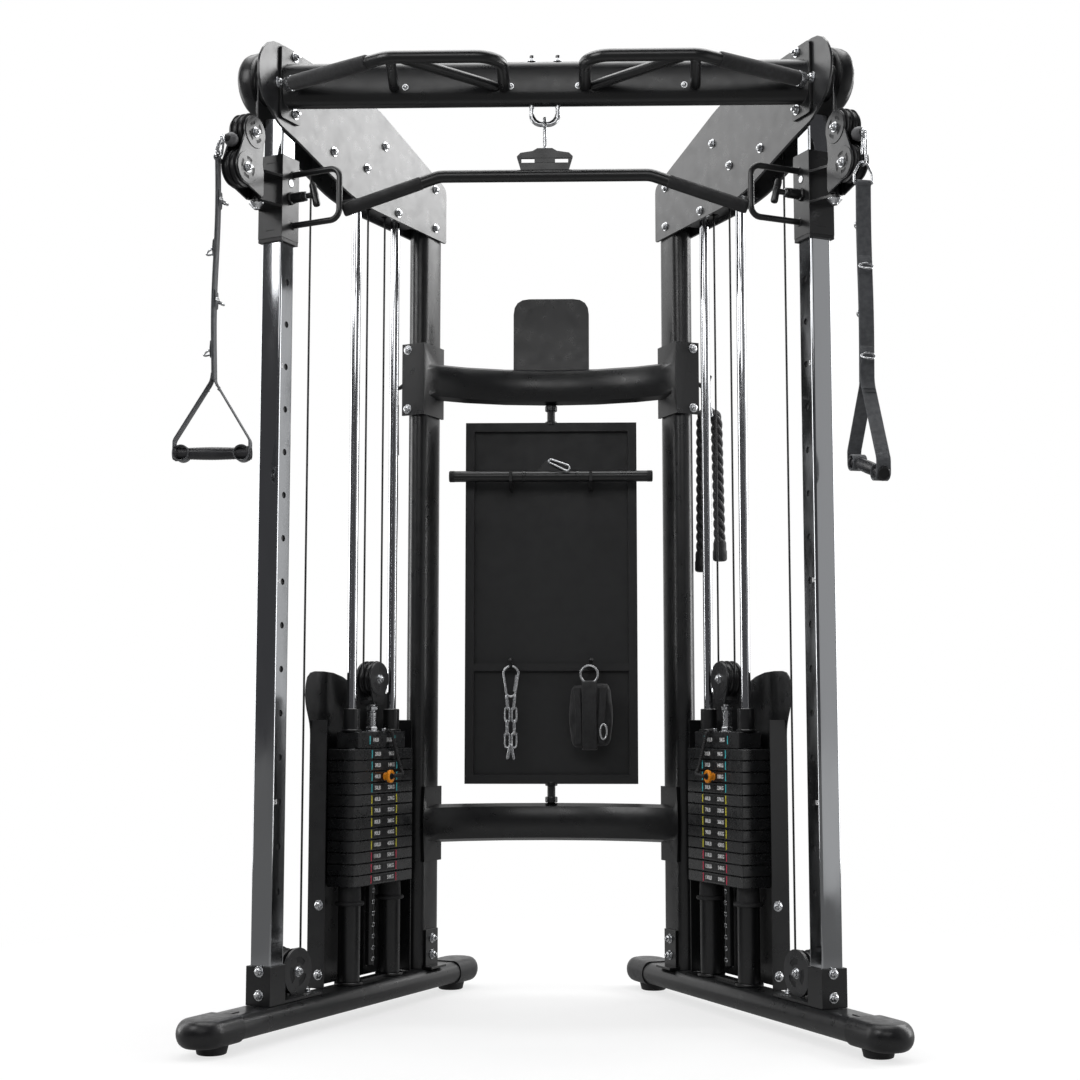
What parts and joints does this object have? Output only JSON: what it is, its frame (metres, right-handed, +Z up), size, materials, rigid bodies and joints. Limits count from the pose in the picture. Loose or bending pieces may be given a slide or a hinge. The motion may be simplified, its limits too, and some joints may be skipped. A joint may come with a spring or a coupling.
{
  "type": "functional trainer",
  "caption": "Free-standing cable machine with two weight stacks, sliding pulley carriages on splayed uprights, a pull-up beam and a swivelling storage board.",
  "frame": {"origin": "centre of the whole outline's box, on the floor", "axes": "+Z up, -Y towards the user at the open front, +X to the user's right when facing the machine"},
  "size_m": [1.4737, 1.0204, 2.102],
  "materials": {
    "black_paint": "satin black powder coat with a fine texture",
    "grey_paint": "satin black powder coat on large flat plates, which look grey in soft light",
    "chrome": "bright chrome plating",
    "pin_steel": "black coated steel pin and grip",
    "nylon": "black moulded nylon sheave",
    "riser_rubber": "black moulded riser tubes with rubber tops",
    "plate_iron": "dark grey textured powder coat on cast iron weight plates",
    "orange_plastic": "orange moulded knob on a steel pin",
    "cable_jacket": "black nylon jacket over steel cable",
    "black_rubber": "moulded black rubber ball on the cable end",
    "webbing": "woven black nylon webbing with stitched loops",
    "rope_fibre": "twisted black nylon rope with rubber stoppers"
  },
  "bodies": {
    "root": {"left_base_rail": "black_paint", "left_foot_bracket": "black_paint", "left_front_upright": "chrome", "left_rear_upright": "black_paint", "left_inner_gusset": "grey_paint", "left_outer_gusset": "black_paint", "left_guide_rod_front": "chrome", "left_guide_rod_rear": "chrome", "left_stack_base": "riser_rubber", "left_stack_shroud": "black_paint", "left_lower_plates": "plate_iron", "left_cable": "cable_jacket", "right_base_rail": "black_paint", "right_foot_bracket": "black_paint", "right_front_upright": "chrome", "right_rear_upright": "black_paint", "right_inner_gusset": "grey_paint", "right_outer_gusset": "black_paint", "right_guide_rod_front": "chrome", "right_guide_rod_rear": "chrome", "right_stack_base": "riser_rubber", "right_stack_shroud": "black_paint", "right_lower_plates": "plate_iron", "right_cable": "cable_jacket", "top_beam": "black_paint", "left_pull_up_grip": "black_paint", "right_pull_up_grip": "black_paint", "upper_cross_beam": "black_paint", "lower_cross_beam": "black_paint"},
    "left_carriage": {"left_carriage": "black_paint"},
    "left_pop_pin": {"left_pop_pin": "pin_steel"},
    "left_pulley_block": {"left_pulley_block": "grey_paint"},
    "left_block_pulley_upper": {"left_block_pulley_upper": "nylon"},
    "left_block_pulley_lower": {"left_block_pulley_lower": "nylon"},
    "left_lifted_stack": {"left_lifted_plates": "plate_iron", "left_stack_pulley_block": "black_paint"},
    "left_selector_pin": {"left_selector_pin": "orange_plastic"},
    "left_stack_pulley": {"left_stack_pulley": "nylon"},
    "left_base_pulley": {"left_base_pulley": "nylon"},
    "left_top_pulley": {"left_top_pulley": "nylon"},
    "left_cable_end": {"left_ball_stop": "black_rubber"},
    "left_handle": {"left_strap_handle": "webbing"},
    "right_carriage": {"right_carriage": "black_paint"},
    "right_pop_pin": {"right_pop_pin": "pin_steel"},
    "right_pulley_block": {"right_pulley_block": "grey_paint"},
    "right_block_pulley_upper": {"right_block_pulley_upper": "nylon"},
    "right_block_pulley_lower": {"right_block_pulley_lower": "nylon"},
    "right_lifted_stack": {"right_lifted_plates": "plate_iron", "right_stack_pulley_block": "black_paint"},
    "right_selector_pin": {"right_selector_pin": "orange_plastic"},
    "right_stack_pulley": {"right_stack_pulley": "nylon"},
    "right_base_pulley": {"right_base_pulley": "nylon"},
    "right_top_pulley": {"right_top_pulley": "nylon"},
    "right_cable_end": {"right_ball_stop": "black_rubber"},
    "right_handle": {"right_strap_handle": "webbing"},
    "board": {"storage_board": "black_paint"},
    "straight_bar": {"straight_bar": "black_paint"},
    "ankle_cuff": {"ankle_cuff": "webbing"},
    "lat_bar": {"lat_bar": "black_paint"},
    "triceps_rope": {"triceps_rope": "rope_fibre"}
  },
  "joints": [
    {"name": "left_carriage_slide", "type": "slide", "parent": "root", "child": "left_carriage", "axis": [0, 0, 1], "range_m": [-1.104, 0]},
    {"name": "left_pop_pin_pull", "type": "slide", "parent": "left_carriage", "child": "left_pop_pin", "axis": [0.9041, -0.4274, 0], "range_m": [0, 0.012], "stiffness_N_per_m": 1500},
    {"name": "left_block_swivel", "type": "hinge", "parent": "left_carriage", "child": "left_pulley_block", "pos_m": [-0.59469, -0.33813, 1.785], "axis": [0, 0, 1], "range_deg": [-80, 80]},
    {"name": "left_upper_pulley_spin", "type": "hinge", "parent": "left_pulley_block", "child": "left_block_pulley_upper", "pos_m": [-0.6105, -0.37158, 1.885], "axis": [0.9041, -0.4274, 0], "continuous": true},
    {"name": "left_lower_pulley_spin", "type": "hinge", "parent": "left_pulley_block", "child": "left_block_pulley_lower", "pos_m": [-0.62118, -0.39418, 1.802], "axis": [0.9041, -0.4274, 0], "continuous": true},
    {"name": "left_stack_lift", "type": "slide", "parent": "root", "child": "left_lifted_stack", "axis": [0, 0, 1], "range_m": [0, 1], "deforming": ["left_cable"]},
    {"name": "left_selector_pin_pull", "type": "slide", "parent": "left_lifted_stack", "child": "left_selector_pin", "axis": [0.9041, -0.4274, 0], "range_m": [0, 0.06]},
    {"name": "left_stack_pulley_spin", "type": "hinge", "parent": "left_lifted_stack", "child": "left_stack_pulley", "pos_m": [-0.39169, 0.09131, 0.748], "axis": [0.9041, -0.4274, 0], "continuous": true},
    {"name": "left_base_pulley_spin", "type": "hinge", "parent": "root", "child": "left_base_pulley", "pos_m": [-0.53233, -0.16408, 0.124], "axis": [0.9041, -0.4274, 0], "continuous": true},
    {"name": "left_top_pulley_spin", "type": "hinge", "parent": "root", "child": "left_top_pulley", "pos_m": [-0.57888, -0.30468, 2.01], "axis": [0.9041, -0.4274, 0], "continuous": true},
    {"name": "left_cable_pull", "type": "slide", "parent": "left_pulley_block", "child": "left_cable_end", "axis": [-0.4274, -0.9041, 0], "range_m": [0, 2]},
    {"name": "left_handle_swing", "type": "hinge", "parent": "left_cable_end", "child": "left_handle", "pos_m": [-0.66083, -0.42189, 1.819], "axis": [-0.9041, 0.4274, 0], "range_deg": [0, 75]},
    {"name": "right_carriage_slide", "type": "slide", "parent": "root", "child": "right_carriage", "axis": [0, 0, 1], "range_m": [-1.012, 0]},
    {"name": "right_pop_pin_pull", "type": "slide", "parent": "right_carriage", "child": "right_pop_pin", "axis": [-0.9041, -0.4274, 0], "range_m": [0, 0.012], "stiffness_N_per_m": 1500},
    {"name": "right_block_swivel", "type": "hinge", "parent": "right_carriage", "child": "right_pulley_block", "pos_m": [0.62669, -0.33813, 1.785], "axis": [0, 0, 1], "range_deg": [-80, 80]},
    {"name": "right_upper_pulley_spin", "type": "hinge", "parent": "right_pulley_block", "child": "right_block_pulley_upper", "pos_m": [0.6425, -0.37158, 1.885], "axis": [-0.9041, -0.4274, 0], "continuous": true},
    {"name": "right_lower_pulley_spin", "type": "hinge", "parent": "right_pulley_block", "child": "right_block_pulley_lower", "pos_m": [0.65318, -0.39418, 1.802], "axis": [-0.9041, -0.4274, 0], "continuous": true},
    {"name": "right_stack_lift", "type": "slide", "parent": "root", "child": "right_lifted_stack", "axis": [0, 0, 1], "range_m": [0, 1], "deforming": ["right_cable"]},
    {"name": "right_selector_pin_pull", "type": "slide", "parent": "right_lifted_stack", "child": "right_selector_pin", "axis": [-0.9041, -0.4274, 0], "range_m": [0, 0.06]},
    {"name": "right_stack_pulley_spin", "type": "hinge", "parent": "right_lifted_stack", "child": "right_stack_pulley", "pos_m": [0.42369, 0.09131, 0.748], "axis": [-0.9041, -0.4274, 0], "continuous": true},
    {"name": "right_base_pulley_spin", "type": "hinge", "parent": "root", "child": "right_base_pulley", "pos_m": [0.56433, -0.16408, 0.124], "axis": [-0.9041, -0.4274, 0], "continuous": true},
    {"name": "right_top_pulley_spin", "type": "hinge", "parent": "root", "child": "right_top_pulley", "pos_m": [0.61088, -0.30468, 2.01], "axis": [-0.9041, -0.4274, 0], "continuous": true},
    {"name": "right_cable_pull", "type": "slide", "parent": "right_pulley_block", "child": "right_cable_end", "axis": [0.4274, -0.9041, 0], "range_m": [0, 2]},
    {"name": "right_handle_swing", "type": "hinge", "parent": "right_cable_end", "child": "right_handle", "pos_m": [0.67204, -0.43172, 1.787], "axis": [-0.9041, -0.4274, 0], "range_deg": [0, 75]},
    {"name": "board_swivel", "type": "hinge", "parent": "root", "child": "board", "pos_m": [0.016, 0.3712, 0.945], "axis": [0, 0, 1], "range_deg": [-90, 90]},
    {"name": "straight_bar_lift", "type": "slide", "parent": "board", "child": "straight_bar", "axis": [0, 0, 1], "range_m": [0, 0.06]},
    {"name": "ankle_cuff_swing", "type": "hinge", "parent": "board", "child": "ankle_cuff", "pos_m": [0.114, 0.3322, 0.792], "axis": [-1, 0, 0], "range_deg": [0, 60]},
    {"name": "lat_bar_swing", "type": "hinge", "parent": "root", "child": "lat_bar", "pos_m": [0.016, -0.2978, 1.925], "axis": [1, 0, 0], "range_deg": [0, 35]},
    {"name": "triceps_rope_swing", "type": "hinge", "parent": "root", "child": "triceps_rope", "pos_m": [0.39952, 0.31327, 1.47], "axis": [0.4274, -0.9041, 0], "range_deg": [0, 20]}
  ],
  "couplings": [
    {"joint": "left_cable_pull", "follows": "left_stack_lift", "ratio": 2},
    {"joint": "left_upper_pulley_spin", "follows": "left_stack_lift", "rad_per_m": -54.054},
    {"joint": "left_top_pulley_spin", "follows": "left_stack_lift", "rad_per_m": 54.054},
    {"joint": "left_stack_pulley_spin", "follows": "left_stack_lift", "rad_per_m": 27.027},
    {"joint": "left_base_pulley_spin", "follows": "left_carriage_slide", "rad_per_m": -23.256},
    {"joint": "right_cable_pull", "follows": "right_stack_lift", "ratio": 2},
    {"joint": "right_upper_pulley_spin", "follows": "right_stack_lift", "rad_per_m": 54.054},
    {"joint": "right_top_pulley_spin", "follows": "right_stack_lift", "rad_per_m": -54.054},
    {"joint": "right_stack_pulley_spin", "follows": "right_stack_lift", "rad_per_m": -27.027},
    {"joint": "right_base_pulley_spin", "follows": "right_carriage_slide", "rad_per_m": 23.256}
  ]
}
